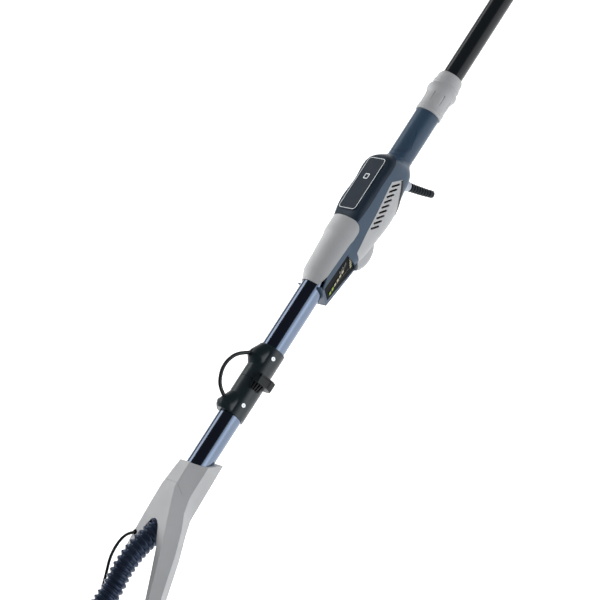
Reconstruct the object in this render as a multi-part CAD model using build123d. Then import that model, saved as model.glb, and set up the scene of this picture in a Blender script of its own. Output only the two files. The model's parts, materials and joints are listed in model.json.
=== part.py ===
from build123d import *
import math
import os

# Long-reach drywall sander, in millimetres.
# The pole runs along X with the sanding head at -X and the dust outlet at +X.
# +Z points out of the control panel, and the latch side of the pole is -Y.
# The origin is the centre of the main grip, on the axis of the middle tube.

# ---- driving dimensions ----------------------------------------------------
WALL = 2.6                  # plastic shells
GAP = 0.3                   # clearance between pieces that move apart
POLE_R = 20.0               # middle and lower tubes
POLE_WALL = 1.5
EXT_R = 17.2                # extension tube
EXT_WALL = 1.4
EXT_Z = -7.6                # axis of the neck, lock collar and extension tube
EXT_INNER_X = 76.0
EXT_OUTER_X = 765.0
NECK_R = 21.0
NECK_END_X = 294.0
BODY_REAR_X = 200.0
SEAM_Z = 9.0                # lower edge of the grip cover
COVER_Z = 19.0              # lower edge of the control cover
GRIP_REAR_X = 58.0
GRIP_CORNER_R = 17.0        # lower rear corner of the grip cover, in side view
KEEL_FRONT_X = -77.0
PANEL_Z = 31.8
PANEL_X = (71.0, 176.0)
PANEL_HALF_W = 21.0
BUTTON_X = 137.5
BUTTON_SIDE = 12.0

FOLD_X = -255.0             # split plane and hinge of the fold joint
FOLD_REAR_X = -192.5
FOLD_FRONT_X = -321.0
FOLD_R = 22.8
HINGE_Y = 26.0
KNUCKLE_R = 6.2
FOLD_PIN_R = 3.0
LATCH_PIVOT = (-246.0, -28.5)
LATCH_PIN_R = 1.6
SCREW_ANGLE = 162.0         # joint screws, degrees from +Y towards +Z
HOOD_ANGLE = 78.0           # lead hoods, degrees from +Y towards +Z
LEAD_R = 3.1

FORK_REAR_X = -398.0
FORK_BEND_X = -474.0
CROTCH_X = -541.0
PIVOT = (-745.0, 0.0, -52.0)
EYE_BORE_R = 5.0
HOSE_R = 18.2
HOSE_BORE_R = 13.0
HOSE_END_X = -706.0
PORT_Z = 14.6
HEAD_LEAD_R = 2.4

RING_IN_R = 38.5
RING_OUT_R = 45.0
MOTOR_R = 34.0
MOTOR_REAR_X = -712.0
SHROUD_BACK_X = -780.0
SHROUD_R = 118.0
SHROUD_FRONT_X = -797.0
PAD_R = 108.0
PAD_PLANE_X = -805.0
HEAD_Z = PIVOT[2]

os.makedirs("parts", exist_ok=True)


# ---- helpers ---------------------------------------------------------------
def save(name, shape):
    """Write one node as parts/NAME.step."""
    solids = [s for s in shape.solids() if s.volume > 0.01]
    export_step(solids[0] if len(solids) == 1 else Compound(children=solids), f"parts/{name}.step")


def rod(x0, x1, r, y=0.0, z=0.0):
    """A cylinder along X from x0 to x1."""
    low, high = min(x0, x1), max(x0, x1)
    return Plane(origin=(low, y, z), z_dir=(1, 0, 0)) * Cylinder(
        r, high - low, align=(Align.CENTER, Align.CENTER, Align.MIN))


def pipe(x0, x1, r, wall, y=0.0, z=0.0):
    """A straight pipe along X."""
    return rod(x0, x1, r, y, z) - rod(min(x0, x1) - 1, max(x0, x1) + 1, r - wall, y, z)


def post(z0, z1, r, x, y):
    """A cylinder along Z."""
    return Pos(x, y, min(z0, z1)) * Cylinder(
        r, abs(z1 - z0), align=(Align.CENTER, Align.CENTER, Align.MIN))


def cross_rod(y0, y1, r, x, z):
    """A cylinder along Y."""
    return Plane(origin=(x, min(y0, y1), z), z_dir=(0, 1, 0)) * Cylinder(
        r, abs(y1 - y0), align=(Align.CENTER, Align.CENTER, Align.MIN))


def block(x0, x1, y0, y1, z0, z1):
    """A box between two corners."""
    return Pos((x0 + x1) / 2, (y0 + y1) / 2, (z0 + z1) / 2) * Box(
        abs(x1 - x0), abs(y1 - y0), abs(z1 - z0))


def side_prism(points, half_width=90.0):
    """A side outline of (x, z) points, extruded both ways along Y."""
    outline = Polyline(*[(x, 0, z) for x, z in points], close=True)
    return extrude(make_face(outline), half_width, dir=(0, 1, 0), both=True)


def top_prism(edges, z0, z1):
    """Edges drawn in the XY plane, closed into a face and extruded from z0 to z1."""
    return extrude(Pos(0, 0, z0) * make_face(edges), z1 - z0, dir=(0, 0, 1))


def turned(points, y=0.0, z=0.0):
    """A body of revolution about X from (x, r) points."""
    outline = Polyline(*[(x, 0, r) for x, r in points], close=True)
    return Pos(0, y, z) * revolve(make_face(outline), Axis.X, 360)


def round_pos(radius, degrees):
    """Y and Z of a point round the pole, with the angle from +Y towards +Z."""
    angle = math.radians(degrees)
    return radius * math.cos(angle), radius * math.sin(angle)


def swept_tube(points, radii, r):
    """A round tube along straight runs joined by tangent arcs."""
    path = FilletPolyline(*points, radius=radii)
    start = Plane(origin=path @ 0, z_dir=path % 0)
    return sweep(start * Circle(r), path=path)


# ---- housing ---------------------------------------------------------------
# X, half width, top Z, bottom Z, squareness of the top and of the belly
BODY_STATIONS = [
    (BODY_REAR_X, 21.4, 13.9, -29.0, 2.0, 2.0),
    (194.0, 24.0, 17.0, -32.0, 2.2, 2.2),
    (188.0, 28.0, 24.0, -33.0, 2.8, 2.6),
    (180.0, 31.2, 29.6, -33.8, 4.0, 3.0),
    (170.0, 33.0, 31.5, -35.0, 5.5, 3.2),
    (145.0, 33.0, 31.5, -40.0, 5.5, 3.4),
    (115.0, 33.0, 31.5, -48.5, 5.5, 3.4),
    (80.0, 33.0, 31.5, -47.5, 5.5, 3.4),
    (60.0, 32.0, 28.0, -46.0, 4.5, 3.2),
    (30.0, 30.0, 24.0, -43.5, 3.5, 3.0),
    (5.0, 28.0, 20.0, -38.0, 3.0, 2.8),
]
BODY_MID_Z = -8.0
SECTION_POINTS = 20


def body_section(x, half_w, top, bottom, n_top, n_belly, inset=0.0):
    """One rounded section of the housing, square at the top and softer at the belly."""
    points = []
    for step in range(SECTION_POINTS):
        angle = 2 * math.pi * step / SECTION_POINTS
        c, s = math.cos(angle), math.sin(angle)
        n = n_top if s >= 0 else n_belly
        reach = top - inset - BODY_MID_Z if s >= 0 else BODY_MID_Z - bottom - inset
        y = math.copysign(abs(c) ** (2 / n), c) * (half_w - inset)
        z = BODY_MID_Z + math.copysign(abs(s) ** (2 / n), s) * reach
        points.append((x, y, z))
    return make_face(Spline(*points, periodic=True))


def body_loft(inset, x_shift):
    """The main body, or its cavity where inset is the wall. x_shift draws the ends in."""
    faces = []
    for x, *rest in BODY_STATIONS:
        centre = (BODY_STATIONS[0][0] + BODY_STATIONS[-1][0]) / 2
        moved = x - math.copysign(x_shift, x - centre)
        faces.append(body_section(moved, *rest, inset=inset))
    return loft(faces)


# X, half width at the seam, half width at the shoulder, half width and Z of the bottom
KEEL_STATIONS = [
    (64.0, 30.0, 30.0, 19.0, -44.5),
    (34.0, 29.8, 29.6, 18.5, -43.5),
    (4.0, 29.2, 28.6, 16.5, -41.0),
    (KEEL_FRONT_X, 27.2, 26.4, 14.5, -32.0),
]


def keel_loft(inset, x_shift):
    """The wedge that carries the label plates under the grip."""
    faces = []
    for x, seam_w, shoulder_w, bottom_w, bottom in KEEL_STATIONS:
        moved = x + (x_shift if x < 0 else -x_shift)
        half = [(seam_w - inset, SEAM_Z), (shoulder_w - inset, 0.0), (bottom_w - inset, bottom + inset)]
        loop = half + [(-y, z) for y, z in reversed(half)]
        faces.append(make_face(Polyline(*[(moved, y, z) for y, z in loop], close=True)))
    return loft(faces, ruled=True)


BODY = body_loft(0.0, 0.0)
BODY_CAVITY = body_loft(WALL, WALL + 0.5)
KEEL = keel_loft(0.0, 0.0)


def bump():
    """The rounded boss under the front of the vent cover."""
    drum = cross_rod(-23.0, 23.0, 41.0, 31.0, -15.0)
    drum = fillet(drum.edges(), 9.0)
    return drum & block(2.0, 61.0, -24, 24, -57, -30)


# side outline of the vent cover, from its pointed rear tip along the top edge to the front
VENT_OUTLINE = [(166, -9), (149, 7), (61, -6), (20, -15), (15, -29), (3, -42), (3, -70), (100, -70), (120, -46)]
SLOT_COUNT = 9
SLOT_FIRST = (150.0, -3.4)
SLOT_PITCH = (-9.7, -1.44)
SLOT_LENGTH = 18.5
SLOT_WIDTH = 3.6
SLOT_TILT = 38.0


def vent_slots():
    """Slanted louvre slots through both sides of the vent cover."""
    slots = []
    for i in range(SLOT_COUNT):
        x = SLOT_FIRST[0] + i * SLOT_PITCH[0]
        z = SLOT_FIRST[1] + i * SLOT_PITCH[1]
        face = Plane(origin=(x, 0, z), x_dir=(1, 0, 0), z_dir=(0, -1, 0)) * Rot(0, 0, -SLOT_TILT)
        slots.append(extrude(face * SlotOverall(SLOT_LENGTH, SLOT_WIDTH), 60, both=True))
    return slots


def neck_grooves():
    """Fine parting lines on the neck, each a thin slanted slab that only bites into its skin."""
    skin = rod(185, 275, NECK_R + 2, z=EXT_Z) - rod(184, 276, NECK_R - 0.6, z=EXT_Z)
    lines = [((203, 16), (219, -0.4)), ((219, -0.4), (256, 7.2)), ((216, -30), (194, 6))]
    grooves = []
    for (xa, za), (xb, zb) in lines:
        length = math.hypot(xb - xa, zb - za)
        nx, nz = -(zb - za) / length * 0.4, (xb - xa) / length * 0.4
        grooves.append(skin & side_prism([(xa - nx, za - nz), (xb - nx, zb - nz),
                                          (xb + nx, zb + nz), (xa + nx, za + nz)]))
    return grooves


def grip_zone(x_front, x_rear, z_low):
    """The space of the grip cover in side view, with its lower rear corner rounded."""
    r = GRIP_CORNER_R
    mid = r * (1 - math.sqrt(0.5))
    corner = ThreePointArc((x_rear - r, 0, z_low), (x_rear - mid, 0, z_low + mid), (x_rear, 0, z_low + r))
    edges = [Line((x_rear, 0, z_low + r), (x_rear, 0, 60)), Line((x_rear, 0, 60), (x_front, 0, 60)),
             Line((x_front, 0, 60), (x_front, 0, z_low)), Line((x_front, 0, z_low), (x_rear - r, 0, z_low))]
    outline = Wire([corner.edge()] + [line.edge() for line in edges])
    return extrude(make_face(outline), 60, dir=(0, 1, 0), both=True)


def housing_parts(label, clip):
    """The control cover, the vent cover and the two housing halves, all cut from one hollow body."""
    body = BODY + rod(186, NECK_END_X, NECK_R, z=EXT_Z)
    front_cut = grip_zone(-100, GRIP_REAR_X, SEAM_Z)
    nose_cut = side_prism([(-66, 20), (KEEL_FRONT_X, -32.5), (-100, -32.5), (-100, 20)])
    body = body - front_cut
    ledge_cut = side_prism([(-44, 10), (-67, 1.5), (-67, 20), (-44, 20)])
    body = body + (KEEL - nose_cut - ledge_cut)
    cavity = BODY_CAVITY + rod(180, NECK_END_X - 12, NECK_R - 1.4, z=EXT_Z)
    cavity = cavity + keel_loft(WALL, 14.0)
    cavity = cavity + rod(-100, 70, POLE_R + GAP) + rod(190, NECK_END_X + 1, EXT_R + 1.9, z=EXT_Z)
    shell = body - cavity

    cover_zone = block(GRIP_REAR_X, 191, -50, 50, COVER_Z, 60)
    top = shell & cover_zone
    rest = shell - cover_zone

    vent_zone = side_prism(VENT_OUTLINE)
    vent = (shell & vent_zone) + (bump() - cavity - body)
    vent = vent & vent_zone
    for slot in vent_slots():
        vent = vent - slot
    rest = rest - vent_zone
    for groove in neck_grooves():
        rest = rest - groove
    rest = rest - label - clip - strain_socket()
    left = rest & block(-200, 400, -60, 0, -90, 60)
    right = (rest & block(-200, 400, 0, 60, -90, 60)) - shell_screws()
    return top, vent - clip, left, right


# corners of the label plate in side view
LABEL_OUTLINE = [(22, -2.0), (3, -37.5), (-70, -25.5), (-64.5, -0.5)]


def label_solid(depth):
    """Both label plates: flat against the slanted keel sides, sunk by depth."""
    outer = keel_loft(-0.15, 0.0)
    inner = keel_loft(depth, 0.0)
    return (outer - inner) & side_prism(LABEL_OUTLINE)


def clip_strip():
    """The dark strip that closes the rear edge of the vent cover, round the belly and up both sides."""
    band = side_prism([(166, -10.5), (163.5, -7.5), (118, -43.5), (118, -52), (121, -52), (121, -47.5)])
    return (body_loft(-0.6, 0.0) & band) - BODY_CAVITY


STRAIN_BASE = (172.0, 0.0, -31.0)
STRAIN_LEAN = 21.5          # degrees from straight down, towards the rear
STRAIN_LENGTH = 84.0


def strain_plane(distance):
    """A plane across the strain relief at a distance from its base."""
    angle = math.radians(STRAIN_LEAN)
    direction = (math.sin(angle), 0, -math.cos(angle))
    origin = tuple(b + d * distance for b, d in zip(STRAIN_BASE, direction))
    return Plane(origin=origin, x_dir=(0, 1, 0), z_dir=direction)


def strain_socket():
    """The hole in the belly for the strain relief."""
    return strain_plane(-8.0) * Cylinder(9.2, 24.0, align=(Align.CENTER, Align.CENTER, Align.MIN))


def strain_relief():
    """A tapered rubber sleeve with ribs and a blind lead bore."""
    sleeve = loft([strain_plane(0.3) * Circle(8.6), strain_plane(20.0) * Circle(7.2)], ruled=True)
    sleeve = sleeve + loft([strain_plane(20.0) * Circle(7.2), strain_plane(STRAIN_LENGTH) * Circle(6.4)], ruled=True)
    bore = strain_plane(STRAIN_LENGTH - 30) * Cylinder(3.6, 31, align=(Align.CENTER, Align.CENTER, Align.MIN))
    return sleeve - bore


def strain_band():
    """The pale conical collar round the root of the strain relief."""
    cone = loft([strain_plane(4.2) * Circle(11.5), strain_plane(17.0) * Circle(8.9)], ruled=True)
    inner = strain_plane(0.0) * Cylinder(8.7, 24, align=(Align.CENTER, Align.CENTER, Align.MIN))
    return cone - inner - BODY


def control_panel():
    """The dark panel and the frame round it, let into the control cover."""
    x0, x1 = PANEL_X
    middle = ((x0 + x1) / 2, 0)
    outline = Pos(*middle, PANEL_Z - 2.4) * RectangleRounded(x1 - x0, 2 * PANEL_HALF_W, 8.0)
    plate = extrude(outline, 2.4)
    inner = Pos(*middle, PANEL_Z - 0.9) * RectangleRounded(x1 - x0 - 2.4, 2 * PANEL_HALF_W - 2.4, 6.8)
    inmost = Pos(*middle, PANEL_Z - 0.9) * RectangleRounded(x1 - x0 - 4.6, 2 * PANEL_HALF_W - 4.6, 5.7)
    trim = extrude(inner, 1.1) - extrude(inmost, 1.2)
    panel = plate - trim - button_solid(GAP, -5.0, 5.0)
    return extrude(outline, 9.0), panel, trim


def button_solid(grow, low, high):
    """The power button's rounded square, from low to high about the panel face."""
    side = BUTTON_SIDE + 2 * grow
    outline = Pos(BUTTON_X, 0, PANEL_Z + low) * RectangleRounded(side, side, 2.4)
    return extrude(outline, high - low)


def button_ring():
    """The pale square ring on the power button."""
    outer = Pos(BUTTON_X, 0, PANEL_Z - 0.1) * RectangleRounded(10.4, 10.4, 1.8)
    inner = Pos(BUTTON_X, 0, PANEL_Z - 0.2) * RectangleRounded(7.2, 7.2, 0.9)
    return extrude(outer, 0.6) - extrude(inner, 0.9)


def grip_cover():
    """The half shell over the tube, with a chamfered nose."""
    outer = [(GRIP_REAR_X - 0.4, 35), (28, 35), (20, 32.8), (-46, 29), (-64, 21.6)]
    inner = [(-64, POLE_R + GAP), (-57, POLE_R + GAP), (-44, 26.2), (20, 29.8), (28, 32), (GRIP_REAR_X - 0.4, 32)]
    return turned(outer + inner) & grip_zone(-80, GRIP_REAR_X - 0.4, SEAM_Z + 0.2)


def lock_collar():
    """The twist-lock collar: a hollow turned body with a bulge and eight shallow grip flats."""
    x = NECK_END_X
    outer = [(x + 0.5, 22.4), (x + 1.3, 23.2), (x + 5.6, 23.3), (x + 6.2, 22.4), (x + 8.2, 22.4), (x + 8.8, 23.1),
             (x + 12.0, 23.1), (x + 13.0, 22.4), (x + 34, 22.8), (x + 38, 24.2), (x + 43, 26.2), (x + 47, 26.6),
             (x + 51, 25.6), (x + 54, 23.2), (x + 57, 22.9), (x + 57.8, 23.9), (x + 62, 23.9), (x + 63, 22.6),
             (x + 75, 21.8), (x + 79, 19.6)]
    inner = [(x + 79, EXT_R + 0.3), (x + 60, EXT_R + 0.3), (x + 60, EXT_R + 2.6), (x + 0.5, EXT_R + 2.6)]
    body = turned(outer + inner, z=EXT_Z)
    for i in range(8):
        y, z = round_pos(23.4, 22.5 + 45 * i)
        body = body - rod(x + 15, x + 36, 1.5, y, z + EXT_Z)
    return body


def collet():
    """The split clamping sleeve under the lock collar."""
    x = NECK_END_X
    sleeve = pipe(x + 1, x + 58, EXT_R + 2.2, 2.1, z=EXT_Z)
    for i in range(3):
        y, z = round_pos(EXT_R + 1, 90 + 120 * i)
        sleeve = sleeve - block(x + 12, x + 59, y - 1, y + 1, EXT_Z + z - 5, EXT_Z + z + 5)
    return sleeve


def duct_adapter():
    """The offset piece that leads air from the middle tube into the guide duct."""
    outer = loft([Plane(origin=(48, 0, 0), z_dir=(1, 0, 0)) * Circle(POLE_R + 2.4),
                  Plane(origin=(72, 0, EXT_Z), z_dir=(1, 0, 0)) * Circle(POLE_R + 2.4)])
    inner = loft([Plane(origin=(61, 0, 0), z_dir=(1, 0, 0)) * Circle(POLE_R - POLE_WALL),
                  Plane(origin=(66, 0, EXT_Z), z_dir=(1, 0, 0)) * Circle(EXT_R - EXT_WALL)])
    return outer - inner - rod(40, 61.2, POLE_R) - rod(65.8, 90, EXT_R + 2.1, z=EXT_Z)


def shell_screws():
    """Four housing screws on the +Y side."""
    group = []
    for x, y, z in [(184, 29.8, -12), (92, 33.0, 12), (38, 30.5, 3), (-20, 28.8, 4)]:
        group.append(cross_rod(y - 6, y, 1.8, x, z) + cross_rod(y - 1.8, y, 3.2, x, z))
    return Compound(children=group)


# ---- fold joint ------------------------------------------------------------
def hood(stops):
    """A raised cowl that the bridging lead dives into. Stops are X, offset towards the lead, and radius."""
    faces = []
    for x, offset, r in stops:
        y, z = round_pos(offset, HOOD_ANGLE)
        faces.append(Plane(origin=(x, y, z), z_dir=(1, 0, 0)) * Circle(r))
    return loft(faces, ruled=True)


REAR_HOOD = [(-231.0, 4.0, 19.4), (-218.0, 14.6, 19.4), (-209.0, 11.8, 19.4), (-194.0, 4.0, 19.4)]
FRONT_HOOD = [(-321.0, 8.4, 18.6), (-317.0, 12.4, 18.9), (-310.0, 14.8, 19.0), (-287.0, 4.0, 19.4)]


def lead_points():
    """The route of the bridging lead over the fold joint."""
    stops = [(-214.0, 25.5), (-222.0, 37.0), (-238.0, 54.0), (-264.0, 60.5), (-288.0, 51.0), (-299.0, 37.0),
             (-302.5, 26.5)]
    return [(x, *round_pos(radius, HOOD_ANGLE)) for x, radius in stops]


def lead_mouths():
    """The wide mouths of the two hoods, round the ends of the lead."""
    points = lead_points()
    mouths = []
    for end, following in [(points[0], points[1]), (points[-1], points[-2])]:
        plane = Plane(origin=end, z_dir=Vector(*following) - Vector(*end))
        mouths.append(plane * Pos(0, 0, 3.5) * Cylinder(5.2, 14, align=(Align.CENTER, Align.CENTER, Align.MIN)))
    return mouths


def sleeve(x0, x1):
    """One half of the fold joint: a thick sleeve on the tube."""
    return rod(x0, x1, FOLD_R)


def knuckle_zone(z_low, z_high, r):
    """A knuckle of the fold hinge."""
    return post(z_low, z_high, r, FOLD_X, HINGE_Y)


def joint_screw(x, recessed=True):
    """Cross-recessed screw, sunk into the sleeve on the latch side."""
    y, z = round_pos(1.0, SCREW_ANGLE)
    plane = Plane(origin=(x, y * (FOLD_R - 2.2), z * (FOLD_R - 2.2)), z_dir=(0, y, z))
    head = plane * Cylinder(3.4, 2.6, align=(Align.CENTER, Align.CENTER, Align.MIN))
    shank = plane * Pos(0, 0, -6) * Cylinder(1.7, 6.2, align=(Align.CENTER, Align.CENTER, Align.MIN))
    recess = plane * Pos(0, 0, 2.4) * (Box(4.0, 0.9, 1.6) + Box(0.9, 4.0, 1.6))
    screw = head + shank
    return screw - recess if recessed else screw


FOLD_SCREW_X = (-209.0, -300.0)


REAR_KNUCKLES = [(-20.0, -12.3), (-5.7, 2.0)]
FRONT_KNUCKLE = (-12.0, -6.0)
EAR_Z = [(-11.5, -8.0), (2.5, 6.0)]
EAR_R = 3.0


def hinge_leaf(x0, x1):
    """A flat leaf from a sleeve out to the hinge axis."""
    return block(x0, x1, 10, HINGE_Y, REAR_KNUCKLES[0][0], REAR_KNUCKLES[1][1])


def fold_halves():
    """Both castings of the fold joint, with knuckles, hoods, screw seats and the latch ears."""
    rear = sleeve(FOLD_X + GAP, FOLD_REAR_X) + hood(REAR_HOOD)
    front = sleeve(FOLD_FRONT_X, FOLD_X - GAP) + hood(FRONT_HOOD)
    rear_slot = (REAR_KNUCKLES[0][1], REAR_KNUCKLES[1][0])
    rear = rear + (hinge_leaf(FOLD_X + GAP, FOLD_X + 26) - block(-300, -200, 0, 60, *rear_slot))
    front = front + (hinge_leaf(FOLD_X - 26, FOLD_X - GAP) & block(-300, -200, 0, 60, *FRONT_KNUCKLE))
    for low, high in REAR_KNUCKLES:
        rear = rear + knuckle_zone(low, high, KNUCKLE_R)
    rear = rear - knuckle_zone(*rear_slot, KNUCKLE_R + 0.8)
    front = front - knuckle_zone(FRONT_KNUCKLE[1], 40, KNUCKLE_R + 0.8)
    front = front - knuckle_zone(-40, FRONT_KNUCKLE[0], KNUCKLE_R + 0.8)
    front = front + knuckle_zone(*FRONT_KNUCKLE, KNUCKLE_R)
    px, py = LATCH_PIVOT
    for low, high in EAR_Z:
        rear = rear + block(px - EAR_R, px + EAR_R, py, -14, low, high) + post(low, high, EAR_R, px, py)
    bore = rod(-400, -100, POLE_R - POLE_WALL)
    seat = rod(-236, -100, POLE_R) + rod(-400, -274, POLE_R)
    pin_hole = post(-40, 40, FOLD_PIN_R, FOLD_X, HINGE_Y)
    pin_clear = post(-40, 40, FOLD_PIN_R + 0.05, FOLD_X, HINGE_Y)
    latch_hole = post(-40, 40, LATCH_PIN_R, px, py)
    rear = rear - bore - seat - pin_hole - latch_hole - joint_screw(FOLD_SCREW_X[0], False)
    front = front - bore - seat - pin_clear - joint_screw(FOLD_SCREW_X[1], False) - catch_block(0.8)
    for cut in lead_mouths() + [bridge_lead(LEAD_R + 0.05)]:
        rear = rear - cut
        front = front - cut
    return rear, front


def catch_block(grow):
    """The latch's nose, or with grow its notch in the front sleeve, which is longer towards the head."""
    return block(-266 - 4 * grow, -261.5 + grow, -25 - grow, -21.5 + 0.7 * grow, -1 - grow, 4 + grow)


LATCH_X = (-259.0, -242.2)
LATCH_OUTLINE = [(-17.0, 16.0), (-21.5, 20.5), (-30.5, 16.0), (-38.0, -5.0), (-36.5, -13.0), (-31.0, -15.5),
                 (-18.0, -15.5)]
LATCH_RIB_ANGLES = (141, 151, 161, 171, 181)


def latch_lever():
    """The latch: a slab across the split with gusset ribs on its head side."""
    px, py = LATCH_PIVOT
    x_head, x_rear = LATCH_X
    profile = make_face(Polyline(*[(x_rear, y, z) for y, z in LATCH_OUTLINE], close=True))
    lever = extrude(profile, x_rear - x_head, dir=(-1, 0, 0)) - rod(-300, -200, FOLD_R + 0.5)
    lever = lever - rod(px - 3.0, -200, FOLD_R + 2.8)
    wedge = [(x_head + 1, FOLD_R + 0.6), (x_head + 1, 30.0), (-269.5, 26.0), (-269.5, FOLD_R + 0.6)]
    for degrees in LATCH_RIB_ANGLES:
        y, z = round_pos(1.0, degrees)
        plane = Plane(origin=(0, 0, 0), x_dir=(1, 0, 0), z_dir=(0, -z, y))
        lever = lever + extrude(plane * make_face(Polyline(*wedge, close=True)), 1.1, both=True)
    lever = lever + catch_block(0.0)
    dish = Plane(origin=((x_head + x_rear) / 2, -34.25, 5.5), x_dir=(1, 0, 0), z_dir=(0, -21.0, 7.5))
    lever = lever - dish * Box(12.4, 17.0, 2.6)
    for low, high in EAR_Z:
        lever = lever - post(low - 0.3, high + 0.3, EAR_R + 1.2, px, py)
        lever = lever - block(px - EAR_R - 1.2, px + 20, py, -5, low - 0.3, high + 0.3)
    return lever - post(-40, 40, LATCH_PIN_R + 0.05, px, py)


def bridge_lead(r):
    """The lead that arches over the fold joint from hood to hood."""
    points = lead_points()
    return swept_tube(points, arc_radii(points), r)


# ---- fork ------------------------------------------------------------------
# X, then Y and Z of the top crease, of the side corner, of the bottom corner and of the inner bottom edge
FORK_STATIONS = [
    (-392.0, (8.5, 28.3), (29.6, 5.0), (22.2, -24.6), (10.0, -24.6)),
    (FORK_BEND_X, (15.5, 31.0), (31.5, 6.0), (25.0, -25.6), (12.0, -25.6)),
    (-500.0, (21.9, 24.6), (35.0, 1.5), (26.5, -25.4), (13.0, -25.4)),
    (-527.0, (28.5, 17.5), (43.0, -7.0), (35.0, -27.0), (16.0, -25.6)),
    (-567.0, (38.5, 6.0), (51.0, -17.0), (44.0, -36.0), (24.5, -25.5)),
    (-610.0, (46.5, -6.5), (57.5, -25.5), (49.5, -45.5), (36.0, -33.5)),
    (-645.0, (53.0, -15.5), (63.5, -32.5), (55.5, -51.5), (45.5, -43.0)),
    (-700.0, (62.0, -29.0), (72.5, -42.0), (65.0, -58.0), (57.0, -55.0)),
    (-745.0, (70.0, -40.0), (80.0, -51.0), (72.0, -64.0), (66.0, -63.0)),
]
# half width of the gap between the legs, from the crotch to the pivots
GAP_POINTS = [(-556.0, 20.0), (-567.0, 26.0), (-615.0, 38.0), (-645.0, 46.0), (-700.0, 57.5), (-760.0, 66.0)]


def fork_outer(inset=0.0):
    """The faceted outside of the fork, or the same faces drawn in by inset."""
    faces = []
    for x, top, side, bottom, inner in FORK_STATIONS:
        half = [(top[0] - 0.6 * inset, top[1] - inset), (side[0] - inset, side[1]),
                (bottom[0] - 0.6 * inset, bottom[1] + inset), (inner[0], inner[1] + inset)]
        loop = half + [(-y, z) for y, z in reversed(half)]
        faces.append(make_face(Polyline(*[(x, y, z) for y, z in loop], close=True)))
    return loft(faces, ruled=True)


def chevron():
    """The V-shaped parting line round the fork's neck, a fine groove in its skin."""
    skin = fork_outer() - fork_outer(0.6)
    line = [(-464.5, 36.0), (-465.0, 31.0), (-478.0, 16.0), (-473.0, 4.0)]
    groove = side_prism(line + [(x - 1.0, z) for x, z in reversed(line)])
    return skin & groove


def fork_gap():
    """The arch between the legs, seen from above."""
    upper = [Edge.make_line((x0, y0, 0), (x1, y1, 0))
             for (x0, y0), (x1, y1) in zip(GAP_POINTS, GAP_POINTS[1:])]
    lower = [Edge.make_line((x0, -y0, 0), (x1, -y1, 0))
             for (x0, y0), (x1, y1) in zip(GAP_POINTS, GAP_POINTS[1:])]
    first, last = GAP_POINTS[0], GAP_POINTS[-1]
    crown = ThreePointArc((first[0], first[1], 0), (CROTCH_X, 0, 0), (first[0], -first[1], 0)).edges()
    end = Edge.make_line((last[0], last[1], 0), (last[0], -last[1], 0))
    return top_prism(Wire(upper + lower + list(crown) + [end]), -100, 60)


def fork_halves():
    """Left and right shells of the fork, with the tube seat, hose socket and pivot eyes."""
    body = fork_outer() - fork_gap()
    rear_trim = side_prism([(-426, 40), (-426, 27), (-421, 12), (-414, 0), (-405, -12), (-397, -22), (-394, -40),
                            (-370, -40), (-370, 40)])
    body = body - rear_trim - rod(-380, -488, POLE_R + 0.05) - hose_tube(HOSE_R + 0.4) - chevron()
    for sign in (-1, 1):
        eye = cross_rod(sign * 66.0, sign * 80.0, 12.0, PIVOT[0], PIVOT[2])
        body = body + eye
    body = body - cross_rod(-120, 120, EYE_BORE_R + 0.05, PIVOT[0], PIVOT[2])
    body = body - block(-760, -700, -66, 66, -100, 40)
    body = body - fork_screws_solid(0.0) - grommet_seat()
    return body & block(-800, -300, -120, -0.02, -120, 60), body & block(-800, -300, 0.02, 120, -120, 60)


def fork_screws_solid(extra):
    """Two screws from below that pinch the fork halves on the tube."""
    group = []
    for x in (-432.0, -462.0):
        for y in (-9.0, 9.0):
            group.append(post(-27, -22.5, 3.3, x, y) + post(-23, -20.4, 1.6, x, y))
    return Compound(children=group)


GROMMET = (-555.0, 33.0, 5.5)


def grommet_plane():
    """A plane on the top face of the +Y leg, where the head lead comes out."""
    heading = Vector(*HEAD_LEAD_ROUTE[1]) - Vector(*GROMMET)
    return Plane(origin=GROMMET, z_dir=heading)


def grommet_seat():
    """The blind hole for the lead grommet."""
    return grommet_plane() * Pos(0, 0, -8) * Cylinder(4.2, 30, align=(Align.CENTER, Align.CENTER, Align.MIN))


def lead_grommet():
    """The rubber grommet of the head lead."""
    body = grommet_plane() * Pos(0, 0, -8) * Cylinder(4.1, 12.5, align=(Align.CENTER, Align.CENTER, Align.MIN))
    bore = grommet_plane() * Pos(0, 0, -9) * Cylinder(HEAD_LEAD_R + 0.05, 20, align=(Align.CENTER, Align.CENTER, Align.MIN))
    return body - bore


HOSE_ROUTE = [(-490.0, 0.0, -4.5), (-535.0, 0.0, -2.0), (-578.0, 0.0, 13.5), (-622.0, 0.0, 17.5),
              (-666.0, 0.0, 10.0), (HOSE_END_X, 0.0, PORT_Z)]
HEAD_LEAD_ROUTE = [GROMMET, (-566.0, 31.0, 20.0), (-581.0, 27.5, 29.0), (-599.0, 25.0, 32.5), (-619.0, 23.5, 30.5),
                   (-638.0, 23.0, 21.5), (-657.0, 24.0, 12.0), (-676.0, 25.5, 3.0), (-692.0, 23.5, -12.0),
                   (-703.0, 17.0, -25.5), (-712.5, 10.0, -34.0)]


def hose_tube(r):
    """A tube along the hose's route."""
    return swept_tube(HOSE_ROUTE, arc_radii(HOSE_ROUTE), r)


def arc_radii(points):
    """A radius for each corner of a route: 0.45 of the shorter run over the tangent of half the turn."""
    radii = []
    for a, b, c in zip(points, points[1:], points[2:]):
        first, second = Vector(*b) - Vector(*a), Vector(*c) - Vector(*b)
        turn = math.radians(first.get_angle(second))
        radii.append(0.45 * min(first.length, second.length) / math.tan(turn / 2))
    return radii


# ---- sanding head ----------------------------------------------------------
def ring_plane(x):
    """A plane across the head's axis."""
    return Plane(origin=(x, 0, HEAD_Z), x_dir=(0, 1, 0), z_dir=(1, 0, 0))


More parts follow.
